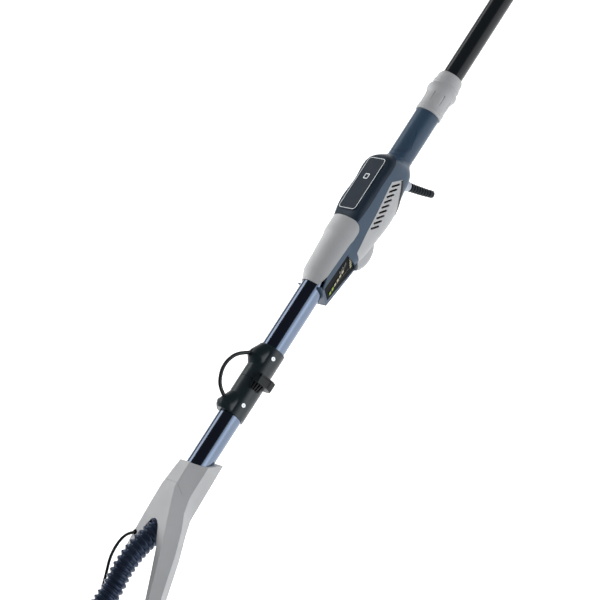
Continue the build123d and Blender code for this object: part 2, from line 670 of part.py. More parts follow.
def gimbal_ring():
    """The ring between the fork and the head, with bosses for the pitch pins."""
    x = PIVOT[0]
    ring = pipe(x - 6, x + 6, RING_OUT_R, RING_OUT_R - RING_IN_R, z=HEAD_Z)
    for sign in (-1, 1):
        ring = ring + cross_rod(sign * 43.5, sign * 65.6, 9.0, x, HEAD_Z)
    ring = ring - cross_rod(-90, 90, EYE_BORE_R, x, HEAD_Z)
    return ring - post(-120, 20, 4.05, x, 0) - rod(x - 20, x + 20, RING_IN_R, z=HEAD_Z)


def pitch_pins():
    """Two headed pins through the fork eyes."""
    group = []
    for sign in (-1, 1):
        pin = cross_rod(sign * 46.0, sign * 81.0, EYE_BORE_R, PIVOT[0], HEAD_Z)
        group.append(pin + cross_rod(sign * 80.3, sign * 84.0, 8.0, PIVOT[0], HEAD_Z))
    return Compound(children=group)


def roll_pins():
    """Two pins on the vertical axis that carry the motor housing in the ring."""
    x = PIVOT[0]
    high = post(HEAD_Z + 31.5, HEAD_Z + 44.6, 4.0, x, 0)
    low = post(HEAD_Z - 44.6, HEAD_Z - 31.5, 4.0, x, 0)
    return Compound(children=[high, low])


def motor_housing():
    """The motor's can, with ribs at the rear and bosses for the roll pins."""
    x = PIVOT[0]
    outer = [(SHROUD_BACK_X, MOTOR_R + 6), (SHROUD_BACK_X + 4, MOTOR_R + 6), (SHROUD_BACK_X + 8, MOTOR_R),
             (MOTOR_REAR_X - 6, MOTOR_R), (MOTOR_REAR_X, MOTOR_R - 7), (MOTOR_REAR_X, 0.01)]
    inner = [(MOTOR_REAR_X - 3, 0.01), (MOTOR_REAR_X - 3, MOTOR_R - 9), (MOTOR_REAR_X - 8, MOTOR_R - 3),
             (SHROUD_BACK_X + 6, MOTOR_R - 3), (SHROUD_BACK_X + 6, 12.0), (SHROUD_BACK_X, 12.0)]
    can = turned(outer + inner, z=HEAD_Z)
    for sign in (-1, 1):
        can = can + post(HEAD_Z + sign * 32.5, HEAD_Z + sign * 37.2, 7.0, x, 0)
    can = can - post(-200, 100, 4.0, x, 0)
    can = can + (pipe(x - 8, x + 8, MOTOR_R - 2.9, 1.0, z=HEAD_Z))
    return can - gland_hole()


def gland_hole():
    """The hole for the head lead in the rear of the motor housing."""
    return rod(MOTOR_REAR_X - 12, MOTOR_REAR_X + 6, 4.8, 10.0, -34.0)


def shroud():
    """The shallow bell round the backing pad, with the dust port's opening."""
    x = SHROUD_BACK_X
    outer = [(x, 12.5), (x, 60), (x - 2, 96), (x - 8, SHROUD_R - 4), (x - 12, SHROUD_R), (SHROUD_FRONT_X, SHROUD_R)]
    inner = [(SHROUD_FRONT_X, SHROUD_R - 2.5), (x - 12.5, SHROUD_R - 2.5), (x - 9, SHROUD_R - 6.5),
             (x - 4.6, 96), (x - 2.8, 60), (x - 2.8, 12.5)]
    bell = turned(outer + inner, z=HEAD_Z)
    return bell - rod(x - 20, x + 10, 15.8, 0, PORT_Z)


def brush_skirt():
    """The ring of bristles inside the rim of the shroud."""
    return pipe(PAD_PLANE_X + 1.0, SHROUD_FRONT_X + 3.5, SHROUD_R - 2.6, 4.6, z=HEAD_Z)


def dust_port():
    """The spigot from the shroud to the hose cuff."""
    spigot = pipe(SHROUD_BACK_X - 2.0, -722, 17.8, 2.0, z=PORT_Z)
    foot = turned([(SHROUD_BACK_X, 15.8), (SHROUD_BACK_X, 24.0), (SHROUD_BACK_X + 3, 24.0),
                   (SHROUD_BACK_X + 6, 17.8), (SHROUD_BACK_X + 6, 15.8)], z=PORT_Z)
    body = spigot + foot
    return body - shroud() - rod(MOTOR_REAR_X, SHROUD_BACK_X - 1, MOTOR_R + 6.2, z=HEAD_Z)


def hose_cuff():
    """The rubber cuff that joins the hose to the dust port."""
    outer = [(-702, 22.0), (-704, 22.8), (-727, 22.8), (-731, 20.0)]
    inner = [(-731, 17.9), (-716, 17.9), (-716, 14.5), (-709.5, 14.5), (-709.5, HOSE_R + 2.4), (-702, HOSE_R + 2.4)]
    return turned(outer + inner, z=PORT_Z)


def motor_inner():
    """Stator and rotor of the motor, and the shaft with its pad flange."""
    x0, x1 = -766.0, -728.0
    stator = pipe(x0, x1, MOTOR_R - 3.9, 9.0, z=HEAD_Z)
    rotor = rod(x0 + 2, x1 - 2, 20.0, z=HEAD_Z) + rod(-789.0, -722.0, 5.0, z=HEAD_Z)
    rotor = rotor + rod(-789.0, -783.4, 11.0, z=HEAD_Z) - rod(-790.0, -772.0, 2.5, z=HEAD_Z)
    return stator, rotor


def backing_pad():
    """The foam-faced backing pad with a ring of dust holes."""
    pad = turned([(-802, 0.01), (-802, PAD_R - 1), (-797, PAD_R), (-793, PAD_R - 3), (-790.5, 50), (-789, 20),
                  (-789, 0.01)], z=HEAD_Z)
    pad = pad - rod(-803, -780, 2.5, z=HEAD_Z)
    for i in range(8):
        y, z = round_pos(72.0, 45 * i)
        pad = pad - rod(-810, -780, 7.0, y, z + HEAD_Z)
    return pad


def abrasive_disc():
    """The abrasive disc with matching dust holes."""
    disc = rod(-805, -802, PAD_R - 0.5, z=HEAD_Z) - rod(-806, -801, 8.0, z=HEAD_Z)
    for i in range(8):
        y, z = round_pos(72.0, 45 * i)
        disc = disc - rod(-810, -780, 6.5, y, z + HEAD_Z)
    return disc


def pad_screw():
    """The screw that holds the backing pad on the shaft."""
    screw = rod(-804, -802, 7.0, z=HEAD_Z) + rod(-802, -774, 2.5, z=HEAD_Z)
    return screw - rod(-806, -803, 2.5, z=HEAD_Z)


# ---- extension pole --------------------------------------------------------
def rear_grip():
    """The foam sleeve near the outer end of the extension tube."""
    outer = [(560, 19.0), (563, 21.0), (737, 21.0), (740, 19.0)]
    inner = [(740, EXT_R), (560, EXT_R)]
    return turned(outer + inner, z=EXT_Z)


def dust_outlet():
    """The outlet spigot for a vacuum hose."""
    x = EXT_OUTER_X
    outer = [(x - 18, 19.6), (x + 4, 19.6), (x + 6, 17.5), (x + 42, 17.5)]
    inner = [(x + 42, 15.0), (x, 15.0), (x, EXT_R), (x - 18, EXT_R)]
    return turned(outer + inner, z=EXT_Z)


def inner_stop():
    """The bush on the inner end of the extension tube that keeps it in the guide duct."""
    return pipe(EXT_INNER_X, EXT_INNER_X + 14, EXT_R + 0.35, 0.35, z=EXT_Z)


# ---- electronics -----------------------------------------------------------
def capacitors():
    """Two smoothing capacitors below the duct."""
    return Compound(children=[cross_rod(-13.0, -1.0, 6.0, 96, -37), cross_rod(1.0, 13.0, 6.0, 96, -37)])


def heat_sink():
    """A finned heat sink under the duct."""
    base = block(104, 132, -15, 15, -31.5, -29.5)
    for i in range(6):
        y = -13.5 + 5.4 * i
        base = base + block(104, 132, y - 0.8, y + 0.8, -39, -31.4)
    return base


def main():
    """Build every node."""
    label, clip = label_solid(1.2), clip_strip()
    top, vent, left, right = housing_parts(label, clip)
    well, panel, trim = control_panel()
    save("control_cover", top - well - button_solid(1.0, -9.0, 5.0))
    save("control_panel", panel)
    save("panel_trim", trim)
    save("vent_cover", vent)
    save("housing_left", left)
    save("housing_right", right)
    save("cover_clip", clip)
    save("label_plates", label)
    save("grip_cover", grip_cover())
    save("strain_relief", strain_relief())
    save("strain_band", strain_band())
    save("shell_screws", shell_screws())
    save("power_button", button_solid(0.0, -4.0, 0.3) - button_ring())
    save("button_ring", button_ring())
    save("mid_tube", pipe(61, -236, POLE_R, POLE_WALL) - joint_screw(FOLD_SCREW_X[0]))
    save("duct_adapter", duct_adapter())
    save("guide_duct", pipe(66, NECK_END_X - 13, EXT_R + 2.1, 1.6, z=EXT_Z))
    save("control_board", block(72, 168, -24, 24, 18.0, 19.6) + block(84, 100, -16, -2, 19.6, 25))
    save("button_switch", block(BUTTON_X - 6, BUTTON_X + 6, -6, 6, 19.6, 26.2))
    save("heat_sink", heat_sink())
    save("capacitors", capacitors())
    save("terminal_block", block(138, 156, -8, 8, -34.0, -29.0))
    save("lock_collar", lock_collar())
    save("collet", collet())
    save("extension_tube", pipe(EXT_INNER_X, EXT_OUTER_X, EXT_R, EXT_WALL, z=EXT_Z))
    save("rear_grip", rear_grip())
    save("dust_outlet", dust_outlet())
    save("inner_stop", inner_stop())

    fold_rear, fold_front = fold_halves()
    save("fold_joint_rear", fold_rear)
    save("fold_joint_front", fold_front)
    save("fold_pin", post(-21, 3, FOLD_PIN_R, FOLD_X, HINGE_Y))
    save("joint_screw_rear", joint_screw(FOLD_SCREW_X[0]))
    save("joint_screw_front", joint_screw(FOLD_SCREW_X[1]))
    save("latch_lever", latch_lever())
    save("latch_pin", post(-14, 9, LATCH_PIN_R, *LATCH_PIVOT))
    save("bridge_lead", bridge_lead(LEAD_R))
    save("lower_tube", pipe(-274, -487, POLE_R, POLE_WALL) - joint_screw(FOLD_SCREW_X[1]))

    fork_left, fork_right = fork_halves()
    save("fork_left", fork_left)
    save("fork_right", fork_right)
    save("fork_screws", fork_screws_solid(0.0))
    save("lead_grommet", lead_grommet())
    save("dust_hose", hose_tube(HOSE_R) - hose_tube(HOSE_BORE_R))
    save("head_lead", swept_tube(HEAD_LEAD_ROUTE, arc_radii(HEAD_LEAD_ROUTE), HEAD_LEAD_R))

    save("gimbal_ring", gimbal_ring())
    save("pitch_pins", pitch_pins())
    save("roll_pins", roll_pins())
    save("motor_housing", motor_housing())
    stator, rotor = motor_inner()
    save("motor_stator", stator)
    save("motor_shaft", rotor)
    save("shroud", shroud())
    save("brush_skirt", brush_skirt())
    save("dust_port", dust_port())
    save("hose_cuff", hose_cuff())
    save("backing_pad", backing_pad())
    save("abrasive_disc", abrasive_disc())
    save("pad_screw", pad_screw())


main()
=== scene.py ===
import bpy
import json
import math
import random
from mathutils import Matrix, Vector


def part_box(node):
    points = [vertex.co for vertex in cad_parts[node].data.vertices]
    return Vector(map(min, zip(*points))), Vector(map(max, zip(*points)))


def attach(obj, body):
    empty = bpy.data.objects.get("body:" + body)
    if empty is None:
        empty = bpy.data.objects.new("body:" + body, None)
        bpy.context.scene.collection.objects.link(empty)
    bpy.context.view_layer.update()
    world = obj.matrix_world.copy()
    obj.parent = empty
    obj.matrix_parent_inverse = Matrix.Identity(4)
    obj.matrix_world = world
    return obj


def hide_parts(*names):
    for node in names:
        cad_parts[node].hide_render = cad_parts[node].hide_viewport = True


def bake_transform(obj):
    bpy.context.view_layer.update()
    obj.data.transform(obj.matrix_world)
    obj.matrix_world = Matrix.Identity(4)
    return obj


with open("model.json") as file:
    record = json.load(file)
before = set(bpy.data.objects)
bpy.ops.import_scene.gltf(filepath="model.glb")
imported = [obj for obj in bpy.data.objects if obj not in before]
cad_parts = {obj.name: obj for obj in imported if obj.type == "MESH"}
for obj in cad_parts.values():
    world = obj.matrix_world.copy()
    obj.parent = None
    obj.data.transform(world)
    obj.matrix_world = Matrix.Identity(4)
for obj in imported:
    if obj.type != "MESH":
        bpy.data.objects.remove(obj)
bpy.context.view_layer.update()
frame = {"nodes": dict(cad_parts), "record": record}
nodes = frame["nodes"]
MM = 0.001                  # one millimetre in the scene's metres
FULL_TURN = 2 * math.pi


# ---- materials -------------------------------------------------------------
NOISE_LOW, NOISE_HIGH = 0.3, 0.7    # where most of a noise texture's values lie
DRIFT_SCALE = 22.0                  # slow colour drift
PATCH_SCALE = 60.0                  # patches of uneven gloss
GLOSS_SPREAD = 0.12
GRAIN_STRENGTH = 0.35
GRIT_STRENGTH = 0.8


def start_material(name):
    """A node material, its tree and its principled shader."""
    material = bpy.data.materials.new(name)
    material.use_nodes = True
    shader = material.node_tree.nodes["Principled BSDF"]
    return material, material.node_tree, shader


def add_noise(tree, coords, scale, detail=4.0, stretch=(1, 1, 1)):
    """A noise texture in object space, stretched along the axes where asked."""
    mapping = tree.nodes.new("ShaderNodeMapping")
    mapping.inputs["Scale"].default_value = stretch
    tree.links.new(coords.outputs["Object"], mapping.inputs["Vector"])
    noise = tree.nodes.new("ShaderNodeTexNoise")
    noise.inputs["Scale"].default_value = scale
    noise.inputs["Detail"].default_value = detail
    tree.links.new(mapping.outputs["Vector"], noise.inputs["Vector"])
    return noise.outputs["Fac"]


def ramp_between(tree, factor, low_colour, high_colour, low=NOISE_LOW, high=NOISE_HIGH):
    """A colour ramp from low_colour to high_colour."""
    ramp = tree.nodes.new("ShaderNodeValToRGB")
    ramp.color_ramp.elements[0].position = low
    ramp.color_ramp.elements[1].position = high
    ramp.color_ramp.elements[0].color = (*low_colour, 1)
    ramp.color_ramp.elements[1].color = (*high_colour, 1)
    tree.links.new(factor, ramp.inputs["Fac"])
    return ramp.outputs["Color"]


def map_value(tree, factor, low, high):
    """A noise mapped to a range."""
    mapped = tree.nodes.new("ShaderNodeMapRange")
    mapped.inputs["From Min"].default_value = NOISE_LOW
    mapped.inputs["From Max"].default_value = NOISE_HIGH
    mapped.inputs["To Min"].default_value = low
    mapped.inputs["To Max"].default_value = high
    tree.links.new(factor, mapped.inputs["Value"])
    return mapped.outputs["Result"]


def add_bump(tree, shader, height, strength, distance):
    """A bump from a height, into the shader's normal."""
    bump = tree.nodes.new("ShaderNodeBump")
    bump.inputs["Strength"].default_value = strength
    bump.inputs["Distance"].default_value = distance
    tree.links.new(height, bump.inputs["Height"])
    tree.links.new(bump.outputs["Normal"], shader.inputs["Normal"])


def moulded(name, colour, roughness, spread=0.07, grain=1400.0, depth=0.00006, metallic=0.0,
            specular=0.5, stretch=(1, 1, 1)):
    """Moulded or coated stock: slight colour drift, uneven gloss and a fine grain."""
    material, tree, shader = start_material(name)
    coords = tree.nodes.new("ShaderNodeTexCoord")
    drift = add_noise(tree, coords, DRIFT_SCALE, 5.0)
    dark = tuple(c * (1 - spread) for c in colour)
    light = tuple(c * (1 + spread) for c in colour)
    tree.links.new(ramp_between(tree, drift, dark, light), shader.inputs["Base Color"])
    patches = add_noise(tree, coords, PATCH_SCALE, 3.0, stretch)
    gloss = map_value(tree, patches, roughness * (1 - GLOSS_SPREAD), roughness * (1 + GLOSS_SPREAD))
    tree.links.new(gloss, shader.inputs["Roughness"])
    shader.inputs["Metallic"].default_value = metallic
    shader.inputs["Specular IOR Level"].default_value = specular
    add_bump(tree, shader, add_noise(tree, coords, grain, 2.0, stretch), GRAIN_STRENGTH, depth)
    return material


def coarse(name, low_colour, high_colour, roughness, scale, depth):
    """Coarse grit or foam: one noise drives both colour and height."""
    material, tree, shader = start_material(name)
    coords = tree.nodes.new("ShaderNodeTexCoord")
    grit = add_noise(tree, coords, scale, 6.0)
    tree.links.new(ramp_between(tree, grit, low_colour, high_colour, 0.4, 0.6), shader.inputs["Base Color"])
    shader.inputs["Roughness"].default_value = roughness
    add_bump(tree, shader, grit, GRIT_STRENGTH, depth)
    return material


MATERIALS = {
    "grey_plastic": moulded("grey_plastic", (0.52, 0.53, 0.54), 0.50, 0.04, 1500, 0.00005),
    "pale_plastic": moulded("pale_plastic", (0.50, 0.56, 0.64), 0.40, 0.05),
    "blue_plastic": moulded("blue_plastic", (0.040, 0.080, 0.135), 0.34, 0.08, 1300, 0.00005),
    "navy_plastic": moulded("navy_plastic", (0.018, 0.032, 0.052), 0.42, 0.10, 1300, 0.00005,
                            specular=0.25),
    "panel_black": moulded("panel_black", (0.012, 0.022, 0.038), 0.34, 0.08, 1800, 0.00002, specular=0.15),
    "silver_trim": moulded("silver_trim", (0.60, 0.64, 0.67), 0.28, 0.04, 1500, 0.00001, metallic=0.6),
    "dark_plastic": moulded("dark_plastic", (0.008, 0.012, 0.014), 0.36, 0.12, specular=0.4),
    "slate_plastic": moulded("slate_plastic", (0.011, 0.021, 0.026), 0.33, 0.14, 900, 0.00006,
                             specular=0.6),
    "pole_black": moulded("pole_black", (0.20, 0.25, 0.34), 0.13, 0.05, 700, 0.00001, metallic=1.0,
                          stretch=(0.05, 1, 1)),
    "extension_black": moulded("extension_black", (0.012, 0.015, 0.018), 0.16, 0.05, 700, 0.00001,
                               stretch=(0.05, 1, 1)),
    "black_rubber": moulded("black_rubber", (0.005, 0.010, 0.017), 0.36, 0.15, 800, 0.00005, specular=0.25),
    "hose_black": moulded("hose_black", (0.045, 0.065, 0.11), 0.22, 0.2, 600, 0.00003, metallic=0.6,
                          specular=0.3),
    "lead_black": moulded("lead_black", (0.012, 0.017, 0.019), 0.35, 0.15, 900, 0.00005),
    "label_dark": moulded("label_dark", (0.003, 0.004, 0.006), 0.35, 0.1, 900, 0.00001, specular=0.05),
    "bright_steel": moulded("bright_steel", (0.72, 0.74, 0.75), 0.22, 0.05, 2200, 0.00002, metallic=1.0),
    "motor_steel": moulded("motor_steel", (0.42, 0.41, 0.40), 0.40, 0.1, 1500, 0.00005, metallic=1.0,
                           stretch=(12, 1, 1)),
    "plain_aluminium": moulded("plain_aluminium", (0.58, 0.59, 0.60), 0.34, 0.05, 1200, 0.00005,
                               metallic=1.0),
    "board_green": moulded("board_green", (0.015, 0.11, 0.045), 0.35, 0.1),
    "bristle_black": moulded("bristle_black", (0.012, 0.012, 0.013), 0.5, 0.2),
    "pad_foam": coarse("pad_foam", (0.03, 0.03, 0.032), (0.08, 0.08, 0.085), 0.85, 900, 0.0002),
    "abrasive_sheet": coarse("abrasive_sheet", (0.22, 0.07, 0.025), (0.50, 0.24, 0.11), 0.9, 2400, 0.00025),
    "foam_grip": coarse("foam_grip", (0.012, 0.012, 0.014), (0.035, 0.035, 0.04), 0.9, 1100, 0.0002),
    "mark_green": moulded("mark_green", (0.35, 0.52, 0.05), 0.45, 0.25, 900, 0.00001),
    "mark_cream": moulded("mark_cream", (0.50, 0.48, 0.30), 0.45, 0.2, 900, 0.00001),
    "mark_grey": moulded("mark_grey", (0.16, 0.15, 0.15), 0.5, 0.2, 900, 0.00001),
}


def paint(obj, material_name):
    """Give an object one material."""
    obj.data.materials.clear()
    obj.data.materials.append(MATERIALS[material_name])


SLOT_OF = {s["node"]: s["material_slot"] for s in frame["record"]["subparts"]}
for node_name, node in nodes.items():
    paint(node, SLOT_OF[node_name])
paint(nodes["rear_grip"], "foam_grip")
paint(nodes["extension_tube"], "extension_black")


# ---- rounded edges of the CAD nodes ----------------------------------------
SHARP_ANGLE = math.radians(32.0)
WELD_DISTANCE = 0.000005
FLAT_WEIGHT = 60
EDGE_WIDTHS = {             # in millimetres
    "fork_left": 1.6, "fork_right": 1.6, "grip_cover": 0.8, "lock_collar": 0.7, "latch_lever": 0.45,
    "fold_joint_rear": 0.7, "fold_joint_front": 0.7, "motor_housing": 0.8, "gimbal_ring": 0.7,
    "dust_port": 0.6,
}


def soften(node_name, width):
    """Round the sharp edges of a CAD node by a modifier, and keep its flats flat."""
    node = nodes[node_name]
    weld = node.modifiers.new("weld", "WELD")
    weld.merge_threshold = WELD_DISTANCE
    bevel = node.modifiers.new("bevel", "BEVEL")
    bevel.width = width
    bevel.segments = 3
    bevel.limit_method = "ANGLE"
    bevel.angle_limit = SHARP_ANGLE
    bevel.use_clamp_overlap = True
    normals = node.modifiers.new("normals", "WEIGHTED_NORMAL")
    normals.weight = FLAT_WEIGHT


for softened, softened_width in EDGE_WIDTHS.items():
    soften(softened, softened_width * MM)


# ---- mesh helpers ----------------------------------------------------------
def new_piece(name, verts, faces, material_name, smooth=True):
    """A mesh object with one material."""
    mesh = bpy.data.meshes.new(name)
    mesh.from_pydata([tuple(v) for v in verts], [], faces)
    mesh.update()
    if smooth:
        mesh.polygons.foreach_set("use_smooth", [True] * len(mesh.polygons))
    obj = bpy.data.objects.new(name, mesh)
    bpy.context.scene.collection.objects.link(obj)
    mesh.materials.append(MATERIALS[material_name])
    return obj


STEPS_PER_SPAN = 200        # dense points on each span of a spline, before they are spaced evenly


def spline_points(control, spacing):
    """A smooth line through a clamped quadratic B-spline of the control points, at about even spacing."""
    points = [Vector(p) for p in control]
    spans = len(points) - 2
    dense = []
    for span in range(spans):
        a = points[span] if span == 0 else (points[span] + points[span + 1]) / 2
        b = points[span + 1]
        c = points[span + 2] if span == spans - 1 else (points[span + 1] + points[span + 2]) / 2
        for step in range(STEPS_PER_SPAN):
            t = step / STEPS_PER_SPAN
            dense.append(a * (1 - t) ** 2 + b * 2 * t * (1 - t) + c * t * t)
    dense.append(points[-1])
    total = sum((q - p).length for p, q in zip(dense, dense[1:]))
    count = max(2, round(total / spacing))
    result, walked, target = [dense[0]], 0.0, total / count
    for p, q in zip(dense, dense[1:]):
        step = (q - p).length
        while walked + step >= target - 1e-9 and len(result) < count:
            result.append(p.lerp(q, (target - walked) / step))
            target += total / count
        walked += step
    result.append(dense[-1])
    return result


def frames_along(line):
    """A tangent and two cross directions at each point, turning as little as possible."""
    frames = []
    side = Vector((0, 1, 0))
    for i, point in enumerate(line):
        ahead = line[min(i + 1, len(line) - 1)] - line[max(i - 1, 0)]
        tangent = ahead.normalized()
        side = (side - tangent * side.dot(tangent)).normalized()
        frames.append((tangent, side, tangent.cross(side)))
    return frames


def tube_piece(name, line, radius_at, material_name, segments=32, first=0, last=None):
    """A closed tube along part of a line, with its radius given by distance and angle."""
    frames = frames_along(line)
    walked = [0.0]
    for p, q in zip(line, line[1:]):
        walked.append(walked[-1] + (q - p).length)
    last = len(line) - 1 if last is None else last
    verts, faces = [], []
    for i in range(first, last + 1):
        _, side, up = frames[i]
        for k in range(segments):
            angle = FULL_TURN * k / segments
            r = radius_at(walked[i], angle)
            verts.append(line[i] + side * (r * math.cos(angle)) + up * (r * math.sin(angle)))
    rings = last - first + 1
    for i in range(rings - 1):
        near, far = i * segments, (i + 1) * segments
        for k in range(segments):
            n = (k + 1) % segments
            faces.append((near + k, far + k, far + n, near + n))
    faces.append(tuple(range(segments)))
    faces.append(tuple(reversed(range((rings - 1) * segments, rings * segments))))
    return new_piece(name, verts, faces, material_name)


def metres(points):
    """Points in millimetres as points in metres."""
    return [tuple(c * MM for c in p) for p in points]


# ---- corrugated dust hose --------------------------------------------------
HOSE_ROUTE = metres([(-490.0, 0.0, -4.5), (-535.0, 0.0, -2.0), (-578.0, 0.0, 13.5), (-622.0, 0.0, 17.5),
                     (-666.0, 0.0, 10.0), (-706.0, 0.0, 14.6)])
HOSE_CREST = 18.2 * MM
HOSE_GROOVE = 14.2 * MM
HOSE_PITCH = 10.2 * MM
HOSE_RINGS_PER_RIB = 12
HOSE_SEGMENTS = 48
CREST_FLATNESS = 0.7        # below 1, the crest is broader than the groove
HOSE_SPLIT_X = -0.650       # the hose and the head lead are each split into a rear piece and a front piece at the point nearest this X


def hose_radius(distance, angle):
    """A helical rib: a rounded crest and a narrower groove."""
    turn = (distance / HOSE_PITCH + angle / FULL_TURN) % 1.0
    wave = 0.5 + 0.5 * math.cos(FULL_TURN * turn)
    return HOSE_GROOVE + (HOSE_CREST - HOSE_GROOVE) * wave ** CREST_FLATNESS


def split_index(line):
    """The point of a line where its rear part hands over to its front part."""
    return min(range(len(line)), key=lambda i: abs(line[i].x - HOSE_SPLIT_X))


hose_line = spline_points(HOSE_ROUTE, HOSE_PITCH / HOSE_RINGS_PER_RIB)
hose_split = split_index(hose_line)
hose_rear = tube_piece("dust_hose_rear", hose_line, hose_radius, "hose_black", HOSE_SEGMENTS, 0, hose_split)
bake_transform(hose_rear)
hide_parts("dust_hose")
hose_front = tube_piece("dust_hose_front", hose_line, hose_radius, "hose_black", HOSE_SEGMENTS, hose_split)
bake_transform(hose_front)
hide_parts("dust_hose")


# ---- leads -----------------------------------------------------------------
HEAD_LEAD_R = 2.4 * MM
HEAD_LEAD_SPACING = 2.0 * MM
HEAD_LEAD_SEGMENTS = 16
HEAD_LEAD = metres([(-555.0, 33.0, 5.5), (-566.0, 31.0, 20.0), (-581.0, 27.5, 29.0), (-599.0, 25.0, 32.5),
                    (-619.0, 23.5, 30.5), (-638.0, 23.0, 21.5), (-657.0, 24.0, 12.0), (-676.0, 25.5, 3.0),
                    (-692.0, 23.5, -12.0), (-703.0, 17.0, -25.5), (-712.5, 10.0, -34.0)])
LOOP_ANGLE = math.radians(78.0)     # the plane of the loop, from +Y towards +Z
LOOP_R = 3.1 * MM
LOOP_SPACING = 1.5 * MM
LOOP_SEGMENTS = 20
LOOP_STOPS = [(-214.0, 25.5), (-222.0, 37.0), (-238.0, 54.0), (-264.0, 60.5), (-288.0, 51.0),
              (-299.0, 37.0), (-302.5, 26.5)]   # X and distance from the pole's axis, in millimetres


def lead_radius(r):
    """A plain round lead."""
    return lambda distance, angle: r


lead_line = spline_points(HEAD_LEAD, HEAD_LEAD_SPACING)
lead_split = split_index(lead_line)
lead_rear = tube_piece("head_lead_rear", lead_line, lead_radius(HEAD_LEAD_R), "lead_black",
                       HEAD_LEAD_SEGMENTS, 0, lead_split)
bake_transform(lead_rear)
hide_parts("head_lead")
lead_front = tube_piece("head_lead_front", lead_line, lead_radius(HEAD_LEAD_R), "lead_black",
                        HEAD_LEAD_SEGMENTS, lead_split)
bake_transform(lead_front)
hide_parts("head_lead")

loop_points = [(x, r * math.cos(LOOP_ANGLE), r * math.sin(LOOP_ANGLE)) for x, r in LOOP_STOPS]
loop_line = spline_points(metres(loop_points), LOOP_SPACING)
loop = tube_piece("bridge_lead_loop", loop_line, lead_radius(LOOP_R), "lead_black", LOOP_SEGMENTS)
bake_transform(loop)
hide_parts("bridge_lead")


# ---- strain relief ---------------------------------------------------------
STRAIN_BASE = Vector((0.172, 0.0, -0.031))
STRAIN_LEAN = math.radians(21.5)
STRAIN_LENGTH = 84.0 * MM
STRAIN_BEND = 3.0 * MM
STRAIN_STEPS_PER_MM = 2
STRAIN_SEGMENTS = 40
STRAIN_ROOT_R = 8.4         # in millimetres
STRAIN_TAPER = 2.0          # in millimetres over the whole length
RIB_START = 19 * MM
RIB_END = 79 * MM
RIB_PITCH = 6.4 * MM
GROOVE_DEPTH = 1.7 * MM
GROOVE_WIDTH = 0.16         # as a share of the pitch
BAND_START, BAND_END = 7, 26        # distances along the strain relief, in millimetres
BAND_LIP = 2.5              # length of the rounded outer lip, in millimetres


def strain_line():
    """The sleeve's centre line, leaning back with a slight sag near its tip."""
    axis = Vector((math.sin(STRAIN_LEAN), 0, -math.cos(STRAIN_LEAN)))
    across = Vector((math.cos(STRAIN_LEAN), 0, math.sin(STRAIN_LEAN)))
    steps = round(STRAIN_LENGTH / MM) * STRAIN_STEPS_PER_MM
    line = []
    for i in range(steps + 1):
        share = i / steps
        line.append(STRAIN_BASE + axis * (STRAIN_LENGTH * share) + across * (STRAIN_BEND * share ** 3))
    return line


def strain_radius(distance, angle):
    """A smooth root, then flat-topped ribs with narrow grooves, tapering to a plain tip."""
    base = (STRAIN_ROOT_R - STRAIN_TAPER * distance / STRAIN_LENGTH) * MM
    if distance < RIB_START or distance > RIB_END:
        return base
    turn = (distance / RIB_PITCH) % 1.0
    groove = math.exp(-((turn - 0.5) / GROOVE_WIDTH) ** 2)
    return base - GROOVE_DEPTH * groove


sleeve = tube_piece("strain_sleeve", strain_line(), strain_radius, "black_rubber", STRAIN_SEGMENTS)
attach(sleeve, "housing")
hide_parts("strain_relief")


def band_radius(distance, angle):
    """A pale conical collar with a rounded outer lip."""
    taper = (11.0 - 2.2 * (distance / MM) / BAND_END) * MM
    lip = max(0.0, distance / MM - (BAND_END - BAND_LIP)) / BAND_LIP
    return taper - 0.9 * MM * lip ** 2


band = tube_piece("strain_collar", strain_line(), band_radius, "pale_plastic", STRAIN_SEGMENTS,
                  STRAIN_STEPS_PER_MM * BAND_START, STRAIN_STEPS_PER_MM * BAND_END)
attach(band, "housing")
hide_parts("strain_band")


# ---- brush skirt -----------------------------------------------------------
BRISTLE_ROWS = 3
BRISTLES_PER_ROW = 420
BRISTLE_HALF_WIDTH = 0.5 * MM
BRISTLE_TIP_TAPER = 0.7
ROW_INSET = 0.9             # of the outer row from the skirt's edge, in millimetres
ROW_SPACING = 1.3           # in millimetres


def bristle_ring():
    """Rows of nylon tufts in a rim round the pad."""
    random.seed(7)
    low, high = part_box("brush_skirt")
    centre_z = (low.z + high.z) / 2
    outer = (high.z - low.z) / 2
    verts, faces = [], []

    def prism(x0, x1, radius, angle, width, lean):
        """One tapered four-sided tuft."""
        start = len(verts)
        for x, w, shift in [(x0, width, 0.0), (x1, width * BRISTLE_TIP_TAPER, lean)]:
            for da, dr in [(-w, -w), (w, -w), (w, w), (-w, w)]:
                a = angle + (da + shift) / radius
                r = radius + dr
                verts.append((x, r * math.cos(a), centre_z + r * math.sin(a)))
        for k in range(4):
            n = (k + 1) % 4
            faces.append((start + k, start + n, start + 4 + n, start + 4 + k))
        faces.append((start, start + 3, start + 2, start + 1))
        faces.append((start + 4, start + 5, start + 6, start + 7))

    for row in range(BRISTLE_ROWS):
        radius = outer - (ROW_INSET + ROW_SPACING * row) * MM
        for i in range(BRISTLES_PER_ROW):
            angle = FULL_TURN * (i + 0.33 * row) / BRISTLES_PER_ROW
            tip = low.x + random.uniform(0.0, 1.2) * MM
            prism(high.x, tip, radius, angle, BRISTLE_HALF_WIDTH, random.uniform(-0.8, 0.8) * MM)
    skirt = new_piece("brush_bristles", verts, faces, "bristle_black", smooth=False)
    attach(skirt, "head")
    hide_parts("brush_skirt")


bristle_ring()


# ---- label marks -----------------------------------------------------------
MARK_LIFT = 0.12 * MM       # how far a bar stands out of its plate
BOX_FACES = [(0, 1, 2, 3), (7, 6, 5, 4), (0, 4, 5, 1), (1, 5, 6, 2), (2, 6, 7, 3), (3, 7, 4, 0)]


